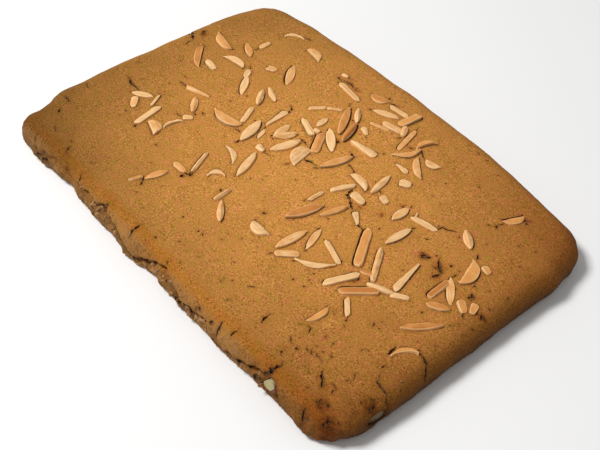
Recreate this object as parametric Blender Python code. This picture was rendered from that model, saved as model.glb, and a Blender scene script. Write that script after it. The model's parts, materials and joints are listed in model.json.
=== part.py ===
"""A slab of speculaas: one thick biscuit of spiced dough, baked as a rounded rectangle.

Everything is in metres, with +Z up. X runs along the slab and Y across it. The origin lies on
the surface that the slab rests on, under the middle of its bounding box.
The slivered almonds on its top are smaller than a berry and are left to the finish.
"""

import math

import bmesh
import bpy
from mathutils import Vector, noise

# Plan of the slab, taken at its widest line.
LENGTH = 0.180
WIDTH = 0.130
SIDES = ("front", "right", "back", "left")  # counter-clockwise, the front at -Y
SIDE_NORMALS = {"front": (0, -1), "right": (1, 0), "back": (0, 1), "left": (-1, 0)}
BOWS = {"front": 0.0005, "right": 0.0011, "back": 0.0055, "left": 0.0043}
LEANS = {"front": 0.0, "right": 0.0, "back": -0.15, "left": 0.2}  # above 0, a bow is fuller near its end
CORNER_RADII = {"front": 0.015, "right": 0.014, "back": 0.014, "left": 0.008}  # at each side's end
LEFT_CORNER_PULL = 0.0022  # the front left corner is drawn in along X

# Where the dough spread further or less: (side, place along it, half width, amount).
SWELLS = (
    ("front", 0.05, 0.0045, 0.0010),
    ("front", 0.17, 0.0055, -0.0020),
    ("front", 0.31, 0.0040, 0.0005),
    ("front", 0.43, 0.0065, 0.0017),
    ("front", 0.51, 0.0050, -0.0013),
    ("front", 0.64, 0.0060, 0.0006),
    ("front", 0.79, 0.0065, 0.0009),
    ("front", 0.87, 0.0060, -0.0004),
    ("right", 0.14, 0.0060, 0.0004),
    ("right", 0.45, 0.0100, -0.0003),
    ("right", 0.88, 0.0070, 0.0013),
    ("back", 0.03, 0.0050, 0.0005),
    ("back", 0.26, 0.0060, 0.0010),
    ("back", 0.52, 0.0100, 0.0003),
    ("back", 0.92, 0.0080, 0.0007),
    ("left", 0.05, 0.0060, 0.0009),
    ("left", 0.17, 0.0090, 0.0004),
    ("left", 0.46, 0.0100, -0.0004),
    ("left", 0.85, 0.0065, 0.0016),
    ("left", 0.97, 0.0045, -0.0011),
)

# Profile of the edge, from the foot up to the top.
THICKNESS = 0.014
BULGE_HEIGHT = 0.0045  # height of the widest line
FOOT_DEPTH = 0.0025  # how far the foot lies inside the widest line
SHOULDER_DEPTHS = {"front": 0.006, "right": 0.009, "back": 0.0075, "left": 0.007}

# Unevenness of the baked dough.
CROWN = 0.0007  # the middle of the top stands this much above its rim
TOP_LUMP = 0.0005
TOP_LUMP_SPAN = 0.030
SIDE_LUMP = 0.0006
SIDE_LUMP_SPAN = 0.009

# Mesh resolution.
LONG_STEPS = 40
SHORT_STEPS = 29
SHOULDER_RINGS = 7
FOOT_RINGS = 3
ARC_STEPS = 8
EDGE_STEPS = 40

SMOOTH_ANGLE = math.radians(50)
CRUST_COLOUR = (0.40, 0.19, 0.055, 1.0)
CRUST_ROUGHNESS = 0.75


def clear_scene():
    for obj in list(bpy.data.objects):
        bpy.data.objects.remove(obj)


def crust_material():
    material = bpy.data.materials.new("baked_crust")
    material.use_nodes = True
    shader = material.node_tree.nodes["Principled BSDF"]
    shader.inputs["Base Color"].default_value = CRUST_COLOUR
    shader.inputs["Roughness"].default_value = CRUST_ROUGHNESS
    shader.inputs["Metallic"].default_value = 0.0
    return material


def corner_centre(side):
    """The centre of the rounded corner at the end of a side."""
    after = SIDES[(SIDES.index(side) + 1) % len(SIDES)]
    radius = CORNER_RADII[side]
    outward = Vector(SIDE_NORMALS[side]) + Vector(SIDE_NORMALS[after])
    corner = Vector((outward.x * LENGTH / 2, outward.y * WIDTH / 2))
    if side == "left":
        corner.x += LEFT_CORNER_PULL
    return corner - outward * radius


def arc(side, start_turn, end_turn):
    """Points on the corner at a side's end; turns go from 0, the side's normal, to 1, the next one's."""
    first = math.atan2(*reversed(SIDE_NORMALS[side]))
    points = []
    for step in range(ARC_STEPS + 1):
        turn = start_turn + (end_turn - start_turn) * step / ARC_STEPS
        angle = first + turn * math.pi / 2
        direction = Vector((math.cos(angle), math.sin(angle)))
        points.append(corner_centre(side) + direction * CORNER_RADII[side])
    return points


def swell(side, place, length):
    """How far a side stands out at a place from 0 to 1 along it, from its bow and its swells."""
    out = BOWS[side] * 4 * place * (1 - place) * (1 + LEANS[side] * (2 * place - 1))
    for owner, centre, half_width, amount in SWELLS:
        if owner == side:
            away = (place - centre) * length / half_width
            out += amount * math.exp(-away * away)
    return out


def side_line(side):
    """A side from the middle of one corner to the middle of the next, at the widest line."""
    before = SIDES[SIDES.index(side) - 1]
    start = arc(before, 0.5, 1.0)
    end = arc(side, 0.0, 0.5)
    straight = end[0] - start[-1]
    normal = Vector(SIDE_NORMALS[side])
    edge = []
    for step in range(1, EDGE_STEPS):
        place = step / EDGE_STEPS
        point = start[-1] + straight * place
        edge.append(point + normal * swell(side, place, straight.length))
    return start + edge + end


def point_along(line, place):
    """The point at a place from 0 to 1 along a line of points, and the line's direction there."""
    lengths = [(b - a).length for a, b in zip(line, line[1:])]
    left = place * sum(lengths)
    for a, b, length in zip(line, line[1:], lengths):
        if left <= length:
            break
        left -= length
    return a.lerp(b, min(left / length, 1.0)), (b - a).normalized()


def rim_place(u, v):
    """The side, and the place along it, of a point on the edge of the unit square."""
    distances = {"front": v, "right": 1 - u, "back": 1 - v, "left": u}
    side = min(SIDES, key=lambda name: distances[name])
    places = {"front": u, "right": v, "back": 1 - u, "left": 1 - v}
    return side, places[side]


def shoulder_depth(normal):
    """The shoulder's depth where the edge faces this way: a mix of the sides that it faces."""
    depth = 0.0
    for side, facing in SIDE_NORMALS.items():
        depth += SHOULDER_DEPTHS[side] * max(normal.dot(Vector(facing)), 0.0) ** 2
    return depth


def top_height(x, y):
    """Height of the top: a low crown with soft, wide lumps."""
    crown = CROWN * (1 - (2 * x / LENGTH) ** 2) * (1 - (2 * y / WIDTH) ** 2)
    lump = noise.noise(Vector((x, y, 0.0)) / TOP_LUMP_SPAN) * TOP_LUMP
    return THICKNESS - CROWN - TOP_LUMP / 2 + crown + lump


def rim_point(lines, u, v, turn):
    """A point on the edge. The turn is 1 at the top's rim, 0 at the widest line and -1 at the foot."""
    side, place = rim_place(u, v)
    widest, along = point_along(lines[side], place)
    normal = Vector((along.y, -along.x))
    depth = shoulder_depth(normal) if turn > 0 else FOOT_DEPTH
    angle = abs(turn) * math.pi / 2
    inset = depth * (1 - math.cos(angle))
    if turn > 0:
        upper = top_height(widest.x, widest.y)
        height = BULGE_HEIGHT + (upper - BULGE_HEIGHT) * math.sin(angle)
    else:
        height = BULGE_HEIGHT * (1 - math.sin(angle))
    spot = Vector((widest.x, widest.y, height)) / SIDE_LUMP_SPAN
    lump = noise.noise(spot) * SIDE_LUMP * math.cos(angle)
    flat = widest - normal * (inset - lump)
    return Vector((flat.x, flat.y, height))


def top_point(lines, u, v):
    """A point of the top, spread evenly between the four stretches of its rim."""
    front, back = rim_point(lines, u, 0, 1), rim_point(lines, u, 1, 1)
    left, right = rim_point(lines, 0, v, 1), rim_point(lines, 1, v, 1)
    across = front.lerp(back, v)
    along = left.lerp(right, u)
    low = rim_point(lines, 0, 0, 1).lerp(rim_point(lines, 1, 0, 1), u)
    high = rim_point(lines, 0, 1, 1).lerp(rim_point(lines, 1, 1, 1), u)
    point = across + along - low.lerp(high, v)
    point.z = top_height(point.x, point.y)
    return point


def make_slab():
    """A grid shaped into the top, its border drawn down ring by ring, and the foot closed flat."""
    lines = {side: side_line(side) for side in SIDES}
    bm = bmesh.new()
    u_layer = bm.verts.layers.float.new("u")
    v_layer = bm.verts.layers.float.new("v")
    bmesh.ops.create_grid(bm, x_segments=LONG_STEPS, y_segments=SHORT_STEPS, size=0.5)
    for vert in bm.verts:
        vert[u_layer] = vert.co.x + 0.5
        vert[v_layer] = vert.co.y + 0.5
    border = [edge for edge in bm.edges if edge.is_boundary]
    for vert in bm.verts:
        vert.co = top_point(lines, vert[u_layer], vert[v_layer])

    turns = [ring / SHOULDER_RINGS for ring in reversed(range(SHOULDER_RINGS))]
    turns += [-ring / FOOT_RINGS for ring in range(1, FOOT_RINGS + 1)]
    for turn in turns:
        drawn = bmesh.ops.extrude_edge_only(bm, edges=border)["geom"]
        for vert in (item for item in drawn if isinstance(item, bmesh.types.BMVert)):
            vert.co = rim_point(lines, vert[u_layer], vert[v_layer], turn)
        border = [edge for edge in bm.edges if edge.is_boundary]
    bmesh.ops.edgeloop_fill(bm, edges=border)
    bmesh.ops.recalc_face_normals(bm, faces=bm.faces)

    centre_on_origin(bm)
    mesh = bpy.data.meshes.new("speculaas_slab")
    bm.to_mesh(mesh)
    bm.free()
    return mesh


def centre_on_origin(bm):
    """Move the shape so that the middle of its box is over the origin."""
    xs = [vert.co.x for vert in bm.verts]
    ys = [vert.co.y for vert in bm.verts]
    middle = Vector((min(xs) + max(xs), min(ys) + max(ys), 0.0)) / 2
    bmesh.ops.translate(bm, verts=bm.verts, vec=-middle)


def main():
    clear_scene()
    mesh = make_slab()
    mesh.materials.append(crust_material())
    mesh.shade_smooth()
    mesh.set_sharp_from_angle(angle=SMOOTH_ANGLE)
    slab = bpy.data.objects.new("speculaas_slab", mesh)
    bpy.context.scene.collection.objects.link(slab)


main()
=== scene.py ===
# %% [markdown]
# # A slab of speculaas with slivered almonds
#
# The real thing is one thick biscuit of spiced dough, rolled out, strewn with slivered almonds,
# pressed, and baked until its rim browned. Everything that makes it look real is small: the grain
# of the crust, the gaps that opened along the almonds as the dough rose, cracks near one corner,
# and one long side that broke up into crumbly hollows. The plan is to take the slab's solid as
# the size to keep to, give it a fine skin, cut the gaps and cracks out of that skin, and lay each
# almond sliver in its own bed.

# %% Load the frame
import json
import math
import random

import bpy
import numpy as np
from mathutils import Euler, Matrix, Vector, noise
from mathutils.bvhtree import BVHTree
from mathutils.kdtree import KDTree

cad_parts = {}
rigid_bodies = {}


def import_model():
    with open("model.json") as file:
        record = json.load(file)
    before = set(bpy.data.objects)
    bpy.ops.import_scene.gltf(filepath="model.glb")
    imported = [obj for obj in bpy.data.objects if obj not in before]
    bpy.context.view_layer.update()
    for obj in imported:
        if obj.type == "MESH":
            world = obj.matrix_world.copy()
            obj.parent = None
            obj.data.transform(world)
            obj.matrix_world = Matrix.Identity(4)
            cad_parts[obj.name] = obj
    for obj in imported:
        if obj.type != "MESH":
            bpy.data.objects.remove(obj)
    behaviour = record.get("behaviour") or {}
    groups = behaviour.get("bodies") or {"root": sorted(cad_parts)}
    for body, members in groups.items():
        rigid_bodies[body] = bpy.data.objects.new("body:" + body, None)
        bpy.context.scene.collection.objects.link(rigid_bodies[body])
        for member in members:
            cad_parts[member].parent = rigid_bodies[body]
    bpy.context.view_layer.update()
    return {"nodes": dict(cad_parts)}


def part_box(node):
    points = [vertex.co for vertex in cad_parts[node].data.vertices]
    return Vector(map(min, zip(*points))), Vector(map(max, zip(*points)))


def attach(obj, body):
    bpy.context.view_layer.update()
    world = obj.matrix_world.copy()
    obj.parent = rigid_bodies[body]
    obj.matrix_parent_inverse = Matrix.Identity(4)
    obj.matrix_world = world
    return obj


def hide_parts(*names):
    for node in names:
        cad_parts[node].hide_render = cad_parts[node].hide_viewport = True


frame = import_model()
NODE = "speculaas_slab"
low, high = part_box(NODE)
MM = 0.001
print("slab", [round(side / MM, 1) for side in high - low], "mm")

# %% [markdown]
# ## Camera
#
# The slab is seen from above one of its corners. A camera is easiest to keep in mind as four
# numbers: how far round it stands, how high, how much it leans, and how far away it is. Its two
# small offsets slide it sideways and down without turning it.

# %% Camera
AZIMUTH = math.radians(43.1)
ELEVATION = math.radians(47.8)
ROLL = math.radians(7.4)
DISTANCE = 391.7 * MM
SLIDE_RIGHT, SLIDE_UP = 1.3 * MM, -11.4 * MM
FOCAL_LENGTH = 62.3

turn = Matrix.Rotation(AZIMUTH, 3, "Z") @ Matrix.Rotation(math.pi / 2 - ELEVATION, 3, "X")
turn = turn @ Matrix.Rotation(ROLL, 3, "Z")
place = turn @ Vector((SLIDE_RIGHT, SLIDE_UP, DISTANCE))
bpy.ops.object.camera_add(location=place, rotation=turn.to_euler())
camera = bpy.context.object
camera.data.lens = FOCAL_LENGTH
bpy.context.scene.camera = camera
bpy.context.scene.view_settings.view_transform = "Standard"
print("camera at", [round(value / MM) for value in place], "mm")

# %% [markdown]
# ## Floor and light
#
# A pale floor and soft light show food at its best. One large lamp stands to the left of the
# slab, so the long crumbly side gets some of it and the short side at the right falls into shade.
# A weak sky fills the shadows.

# %% Floor
FLOOR_SIZE = 4.0
FLOOR_DROP = 0.1 * MM
FLOOR_COLOUR = (0.86, 0.86, 0.86, 1.0)

bpy.ops.mesh.primitive_plane_add(size=FLOOR_SIZE, location=(0, 0, -FLOOR_DROP))
floor = bpy.context.object
floor.name = "floor"
paper = bpy.data.materials.new("floor_paper")
paper.use_nodes = True
paper.node_tree.nodes["Principled BSDF"].inputs["Base Color"].default_value = FLOOR_COLOUR
paper.node_tree.nodes["Principled BSDF"].inputs["Roughness"].default_value = 0.9
floor.data.materials.append(paper)

# %% Lamps


def lamp(name, direction, distance, size, power):
    """A square soft lamp that looks at the slab from a direction."""
    towards = Vector(direction).normalized()
    bpy.ops.object.light_add(type="AREA", location=towards * distance)
    light = bpy.context.object
    light.name = name
    light.rotation_euler = towards.to_track_quat("Z", "Y").to_euler()
    light.data.size = size
    light.data.energy = power
    return light


lamp("key_lamp", (-0.40, -0.42, 0.82), 1.1, 0.30, 11.6)
SKY_STRENGTH = 0.36
world = bpy.data.worlds.new("sky")
world.use_nodes = True
world.node_tree.nodes["Background"].inputs["Color"].default_value = (1.0, 0.99, 0.97, 1.0)
world.node_tree.nodes["Background"].inputs["Strength"].default_value = SKY_STRENGTH
bpy.context.scene.world = world

# %% [markdown]
# ## Working by hand, in code
#
# An operator acts on whatever is selected, as in Blender's window. So a few helpers select one
# object, go in and out of edit mode, select vertices by a test, and apply a modifier.

# %% Selecting and applying


def pick(*objects):
    """Select these objects and nothing else. The last one is the active one."""
    bpy.ops.object.select_all(action="DESELECT")
    for obj in objects:
        obj.select_set(True)
    bpy.context.view_layer.objects.active = objects[-1]
    return objects[-1]


def apply_modifier(obj, kind, **settings):
    """Add a modifier with these settings and apply it at once."""
    pick(obj)
    modifier = obj.modifiers.new(kind.lower(), kind)
    for key, value in settings.items():
        setattr(modifier, key, value)
    bpy.ops.object.modifier_apply(modifier=modifier.name)


def select_where(obj, mode, test):
    """Enter edit mode with just the faces or edges selected that pass a test."""
    pick(obj)
    bpy.ops.object.mode_set(mode="EDIT")
    bpy.ops.mesh.select_mode(type=mode)
    bpy.ops.mesh.select_all(action="DESELECT")
    bpy.ops.object.mode_set(mode="OBJECT")
    items = obj.data.polygons if mode == "FACE" else obj.data.edges
    for item in items:
        item.select = test(item)
    bpy.ops.object.mode_set(mode="EDIT")


def edit_all(obj, operator, **settings):
    """Run an edit mode operator on the whole of an object."""
    pick(obj)
    bpy.ops.object.mode_set(mode="EDIT")
    bpy.ops.mesh.select_all(action="SELECT")
    operator(**settings)
    bpy.ops.object.mode_set(mode="OBJECT")


def joined(parts, name):
    """Join objects into one, and name it and its mesh."""
    pick(*parts)
    bpy.ops.object.join()
    whole = bpy.context.object
    whole.name = name
    whole.data.name = name
    return whole


def spots_of(obj):
    """The places of an object's vertices, one row each."""
    spots = np.zeros(len(obj.data.vertices) * 3, np.float32)
    obj.data.vertices.foreach_get("co", spots)
    return spots.reshape(-1, 3)


def normals_of(obj):
    """The normals of an object's vertices, one row each."""
    return np.array([vert.normal[:] for vert in obj.data.vertices], np.float32)


def put_spots(obj, spots):
    """Move an object's vertices to these places."""
    obj.data.vertices.foreach_set("co", np.asarray(spots, np.float32).ravel())
    obj.data.update()


def triangles(obj):
    """How many triangles an object has."""
    return sum(len(face.vertices) - 2 for face in obj.data.polygons)


def smoothstep(start, end, value):
    """0 before the start, 1 after the end, and a soft rise between them."""
    share = np.clip((value - start) / (end - start), 0.0, 1.0)
    return share * share * (3 - 2 * share)


# %% [markdown]
# ## The crust
#
# The slab's solid has facets a few millimetres wide, too coarse for crust. A voxel remesh turns a
# copy of it into an even net of squares, fine enough to carry lumps and pits. The underside needs
# no detail, so it is cut off with bisect and closed again with one flat face.

# %% A fine skin over the slab
SKIN_VOXEL = 0.80 * MM
BASE_CUT = 0.3 * MM
PRESSED_IN = 0.8 * MM  # the middle lies this much lower, and the almonds stand up to its height
RIM_WIDTH = 0.28  # of the half sides, where the pressing fades out
UNPRESSED_HEIGHT, PRESSED_HEIGHT = 8 * MM, 13 * MM  # the pressing fades out downwards too

crust = frame["nodes"][NODE].copy()
crust.data = crust.data.copy()
crust.name = "crust"
crust.data.name = "crust"
bpy.context.scene.collection.objects.link(crust)
edit_all(crust, bpy.ops.mesh.remove_doubles, threshold=0.01 * MM)
edit_all(crust, bpy.ops.mesh.customdata_custom_splitnormals_clear)
apply_modifier(crust, "REMESH", mode="VOXEL", voxel_size=SKIN_VOXEL)
apply_modifier(crust, "SMOOTH", factor=0.5, iterations=3)
under = {"plane_co": (0, 0, BASE_CUT), "plane_no": (0, 0, 1), "clear_inner": True}
edit_all(crust, bpy.ops.mesh.bisect, use_fill=True, **under)

skin = spots_of(crust)
outwards = np.maximum(abs(skin[:, 0]) / high.x, abs(skin[:, 1]) / high.y)
inside = smoothstep(1.0, 1.0 - RIM_WIDTH, outwards)
skin[:, 2] -= PRESSED_IN * inside * smoothstep(UNPRESSED_HEIGHT, PRESSED_HEIGHT, skin[:, 2])
put_spots(crust, skin)
print("crust", triangles(crust), "triangles")

# %% [markdown]
# ## Lumps and grain
#
# Displace modifiers with a clouds texture are the quickest way to uneven a surface. One pass
# gives the slow waves that the rolling pin left, and one the grain of the dough. The others are
# kept by vertex groups to the sides, to the long front side, where the dough crumbled, and to
# the front right corner, where it blistered. Then a list of wide, soft pushes gives each side
# its own swells and dips.

# %% Waves, grain and crumble


def clouds(name, span, depth):
    """A clouds texture whose lumps are about this wide."""
    texture = bpy.data.textures.new(name, "CLOUDS")
    texture.noise_scale = span
    texture.noise_depth = depth
    return texture


def lump(obj, name, span, depth, strength, group=""):
    """Push a surface in and out by a clouds texture, all over or by a vertex group."""
    apply_modifier(
        obj, "DISPLACE", texture=clouds(name, span, depth), texture_coords="GLOBAL",
        strength=strength, mid_level=0.5, vertex_group=group,
    )


SHOULDER_LINE = 12.2 * MM
BLISTERED_CORNER, BLISTERED_REACH = (84 * MM, -60 * MM), 20 * MM
skin = spots_of(crust)
facing = normals_of(crust)
front_facing = smoothstep(0.25, 0.8, -facing[:, 1])
crumbly = front_facing * smoothstep(SHOULDER_LINE, 8.5 * MM, skin[:, 2])
sides = smoothstep(0.3, 0.9, 1 - facing[:, 2])
from_corner = np.hypot(*(skin[:, :2] - BLISTERED_CORNER).T)
blistered = np.exp(-(from_corner / BLISTERED_REACH) ** 2)

for label, weights in (("crumbly", crumbly), ("sides", sides), ("blistered", blistered)):
    group = crust.vertex_groups.new(name=label)
    for index in np.nonzero(weights > 0.01)[0]:
        group.add([int(index)], float(weights[index]), "REPLACE")

lump(crust, "waves", 11 * MM, 1, 0.5 * MM)
lump(crust, "grain", 1.9 * MM, 2, 0.16 * MM)
lump(crust, "side_lumps", 5 * MM, 2, 0.7 * MM, "sides")
lump(crust, "crumble", 2.6 * MM, 3, 1.5 * MM, "crumbly")
lump(crust, "blisters", 3.6 * MM, 2, 1.1 * MM, "blistered")

CORNER_SHARPNESS = 5  # the higher, the nearer to a corner before a push turns its way
# x, y, radius and how far the side is pushed out there. The lengths are millimetres.
PUSHES = (
    (-88, -63, 8, 1.3), (-91, -49, 7, 1.0), (-91, -26, 10, 0.7), (-90, 22, 5, 0.4), (-89, 36, 8, 0.8),
    (-62, 66, 13, 0.8), (-38, 67, 12, 0.8), (-5, 68, 16, 0.45), (22, 68, 12, 0.7), (56, 67, 14, 0.8),
    (83, 66, 6, 1.7), (91, 59, 6, 0.7), (94, 41, 4, 0.8), (94, 33, 4, -0.5), (94, -30, 4, 0.8),
    (94, -53, 6, 0.6), (83, -68, 5, 0.8), (38, -70, 4, 0.5), (6, -70, 4, 0.8), (-4, -70, 3.5, -0.7),
    (-46, -70, 4, 0.8), (-65, -68, 4, -0.5),
)
skin = spots_of(crust)
for x, y, radius, amount in PUSHES:
    away = np.hypot(skin[:, 0] - x * MM, skin[:, 1] - y * MM) / (radius * MM)
    outward = Vector((x * MM / high.x, y * MM / high.y))
    outward = Vector([side ** CORNER_SHARPNESS for side in outward]).normalized()
    skin[:, :2] += np.exp(-away ** 2)[:, None] * np.array(outward * amount * MM)
put_spots(crust, skin)
print("front side", int((crumbly > 0.5).sum()), "vertices")

# %% [markdown]
# ## The broken ledge of the front side
#
# Along its front the slab rose faster than it set, and the side tore below the shoulder: a
# hollow line wanders along it with crumbs standing out underneath. The line is a short list of
# heights, and vertices near it are pushed inwards.

# %% The torn line
# Place along the side, height and depth of the tear, in millimetres.
TEAR = (
    (-78, 6.5, 0.0), (-69, 5.5, 1.0), (-63, 7.5, 0.6), (-54, 7.5, 0.6), (-44, 7.0, 1.2),
    (-36, 8.0, 1.6), (-28, 8.5, 1.7), (-20, 6.8, 2.0), (-14, 4.5, 2.2), (-8, 3.5, 2.4),
    (-3, 5.5, 2.2), (4, 8.0, 1.8), (11, 8.0, 1.6), (17, 5.0, 1.8), (23, 5.0, 1.6),
    (31, 5.5, 0.5), (41, 3.5, 1.2), (47, 4.2, 1.5), (53, 6.0, 1.8), (58, 7.2, 2.2),
    (62, 6.0, 1.2), (68, 5.5, 0.3), (80, 5.5, 0.0),
)
TEAR_HALF_HEIGHT = 1.15 * MM
TEAR_DEEPENING = 1.25
WANDER_SPAN, WANDER = 3.2 * MM, 1.2 * MM

along, heights, depths = (np.array(column) * MM for column in zip(*TEAR))


def tear_at(spots):
    """For each place: its height over the tear, how near it is to the tear, and the tear's depth."""
    wander = np.array([noise.noise(Vector(spot) / WANDER_SPAN) for spot in spots])
    above = spots[:, 2] - np.interp(spots[:, 0], along, heights) - wander * WANDER
    depth = np.interp(spots[:, 0], along, depths) * (0.6 + 0.9 * np.clip(wander + 0.4, 0, 1))
    return above, np.exp(-(above / TEAR_HALF_HEIGHT) ** 2), depth * TEAR_DEEPENING


skin = spots_of(crust)
facing = normals_of(crust)
above, nearness, depth = tear_at(skin)
pushed = depth * nearness * smoothstep(0.2, 0.7, -facing[:, 1])
skin[:, 1] += pushed
put_spots(crust, skin)
print("deepest tear", round(float(pushed.max()) / MM, 1), "mm")

# %% [markdown]
# ## Browned hollows
#
# In a few places the crust blistered, sank and browned: beside the notch in the left rim, under
# the almonds at the right, and near the front right corner. One list serves three times: here
# the places are pushed down, later each gets a few small bites, and in the end it is painted.

# %% Sinking the browned places
# x, y, radius and how brown, from 0 to 1. The lengths are millimetres.
BROWNED = (
    (-83.9, 20.9, 2.4, 1.0), (-25.5, 49.8, 2.4, 0.7), (-20.5, 49.1, 2.0, 0.6), (57, 7.6, 2.6, 1.0),
    (63.7, 8, 3.2, 0.9), (66, 4.5, 2.4, 0.7), (87, 4.5, 2.4, 0.9), (49.7, -18.9, 2.4, 0.8),
    (-23, -34.2, 2.2, 0.6), (8.3, -24.1, 1.4, 0.5), (-3.3, 22.4, 1.8, 0.7), (34, 9.6, 2.0, 0.6),
    (35.5, 18.6, 2.0, 0.6), (27, 5.5, 2.2, 0.6), (79.8, -60.3, 3.2, 0.8), (84.9, -62.9, 3.4, 0.9),
    (88, -48.5, 3.4, 0.9), (74.6, -55.1, 2.4, 0.5), (78, -66, 3.0, 0.7), (60, -66.5, 2.6, 0.8),
    (79.6, 7.3, 2.4, 0.7), (-62.3, -57.7, 2.2, 0.4), (-31.1, -47.9, 1.4, 0.7), (56.6, -55.6, 2.0, 0.4),
)
BROWNED_DEPTH = 0.45 * MM


def browned_share(spots):
    """How browned each place is, from 0 to 1."""
    share = np.zeros(len(spots))
    for x, y, radius, amount in BROWNED:
        away = np.hypot(spots[:, 0] - x * MM, spots[:, 1] - y * MM) / (radius * MM)
        share = np.maximum(share, amount * np.exp(-away ** 2))
    return share


skin = spots_of(crust)
blisters = np.array([noise.noise(Vector(spot) / (1.6 * MM)) for spot in skin])
skin[:, 2] -= browned_share(skin) * (0.6 + 1.4 * blisters) * BROWNED_DEPTH
put_spots(crust, skin)
print("browned places", len(BROWNED))

# %% [markdown]
# ## Slivered almonds: the masters
#
# A slivered almond is a kernel cut lengthwise, so a sliver is a little plank whose ends follow
# the kernel's curve. Five cuts come up again and again: a straight stick, a lens, a half moon
# from the kernel's side, a bent crescent and a wedge, besides short chips. Each is modelled once:
# a thin block whose end face is extruded along the sliver, ring by ring, each ring scaled and
# shifted to the cut's outline. A bevel softens the knife's edges.

# %% Outlines of the cuts
# Each outline gives how far the left and the right edge stand from the middle line, in widths,
# at a place from -1 at one tip to 1 at the other.


def stick(place):
    edge = 0.5 * (1 - 0.6 * abs(place) ** 12)
    return edge, edge


def lens(place):
    edge = 0.5 * (1 - abs(place) ** 2.3) ** 0.70
    return edge, edge


def halfmoon(place):
    bow = (1 - abs(place) ** 2.6) ** 0.7
    return 0.35, bow - 0.35


def crescent(place):
    bow = 1 - place * place
    return 0.85 * bow - 0.35, 0.35 - 0.2 * bow


def wedge(place):
    edge = 0.5 * (0.66 - 0.34 * place) * (1 - 0.5 * abs(place) ** 12)
    return edge, edge


def chip(place):
    edge = 1 - 0.55 * abs(place) ** 6
    return 0.5 * edge, (0.5 - 0.16 * place) * edge


OUTLINES = {
    "stick": stick, "lens": lens, "halfmoon": halfmoon,
    "crescent": crescent, "wedge": wedge, "chip": chip,
}

# %% Carving one master of each cut
MASTER_LENGTH, MASTER_WIDTH, MASTER_THICKNESS = 10 * MM, 3 * MM, 2 * MM
RINGS = 13
THINNEST_EDGE = 0.13  # of the width, so that a tip stays a small face
KNIFE_BEVEL = 0.15 * MM


def ring_of(outline, place):
    """Half width, middle and thickness of a sliver's ring, in metres."""
    left, right = outline(place)
    half = max((left + right) / 2, THINNEST_EDGE) * MASTER_WIDTH
    middle = (left - right) / 2 * MASTER_WIDTH
    thick = (1 - 0.3 * place ** 6) * MASTER_THICKNESS
    return half, middle, thick


def block(kind, name):
    """Draw one sliver out along X as a square-edged block, its middle at the origin."""
    outline = OUTLINES[kind]
    places = [-math.cos(math.pi * ring / (RINGS - 1)) for ring in range(RINGS)]
    half, middle, thick = ring_of(outline, places[0])
    reach = MASTER_LENGTH / 2
    start = -reach - 0.05 * MM
    bpy.ops.object.select_all(action="DESELECT")
    bpy.ops.mesh.primitive_cube_add(
        size=1, location=(start, middle, 0), scale=(0.1 * MM, 2 * half, thick)
    )
    sliver = bpy.context.object
    sliver.name = name
    bpy.ops.object.transform_apply(location=True, rotation=True, scale=True)
    end = max(vert.co.x for vert in sliver.data.vertices)
    select_where(sliver, "FACE", lambda face: face.normal.x > 0.9)
    for place in places[1:]:
        new_half, new_middle, new_thick = ring_of(outline, place)
        step = (place * reach - end, new_middle - middle, 0)
        bpy.ops.mesh.extrude_region_move(TRANSFORM_OT_translate={"value": step})
        bpy.ops.transform.resize(
            value=(1, new_half / half, new_thick / thick),
            center_override=(place * reach, new_middle, 0),
        )
        end, half, middle, thick = place * reach, new_half, new_middle, new_thick
    bpy.ops.mesh.select_all(action="SELECT")
    bpy.ops.mesh.normals_make_consistent(inside=False)
    bpy.ops.object.mode_set(mode="OBJECT")
    return sliver


def soften(sliver):
    """Bevel the four long edges and round everything a little."""
    verts = sliver.data.vertices

    def runs_along(edge):
        first, last = (verts[index].co for index in edge.vertices)
        return abs(first.x - last.x) > 0.01 * MM

    select_where(sliver, "EDGE", runs_along)
    bpy.ops.mesh.bevel(offset=KNIFE_BEVEL, segments=1)
    bpy.ops.object.mode_set(mode="OBJECT")
    apply_modifier(sliver, "SUBSURF", levels=1, render_levels=1, subdivision_type="SIMPLE")


def carve(kind):
    """One finished master."""
    sliver = block(kind, "master_" + kind)
    soften(sliver)
    return sliver


masters = {kind: carve(kind) for kind in OUTLINES}
for kind, sliver in masters.items():
    print("master", kind, triangles(sliver), "triangles")

# %% [markdown]
# Each sliver's grain runs lengthwise, and toasting browned its face before its cut edges. So a
# master gets a UV map with U along the sliver and V across it, and each vertex keeps how near it
# lies to the edge, from 0 on the middle line to 1.

# %% Where a point lies on a sliver


def map_grain(sliver, kind):
    """A UV map of straight fibres, and how near each vertex is to the outline's edge."""
    while sliver.data.uv_layers:
        sliver.data.uv_layers.remove(sliver.data.uv_layers[0])
    layer = sliver.data.uv_layers.new(name="grain")
    for loop in sliver.data.loops:
        spot = sliver.data.vertices[loop.vertex_index].co
        layer.data[loop.index].uv = (spot.x / MASTER_LENGTH + 0.5, 2 * spot.y / MASTER_WIDTH)
    rim = sliver.data.attributes.new("rim", "FLOAT", "POINT")
    for vert, value in zip(sliver.data.vertices, rim.data):
        place = max(-1.0, min(1.0, vert.co.x / (MASTER_LENGTH / 2)))
        half, middle, _ = ring_of(OUTLINES[kind], place)
        value.value = max(abs(vert.co.y - middle) / half, abs(place) ** 6)


for kind, sliver in masters.items():
    map_grain(sliver, kind)

# %% [markdown]
# ## Strewing the slivers
#
# Where each sliver lies is part of this slab's look, so the places are written down by kind: a
# thick drift of them from the left corner across the middle to the right, and hardly any in front.
# Each row says where a sliver's middle is, which way it points, how long and wide it is, how
# toasted, on which side a gap opened, and how far it stands out.

# %% The list of slivers
ALL_ROUND = 9
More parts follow.
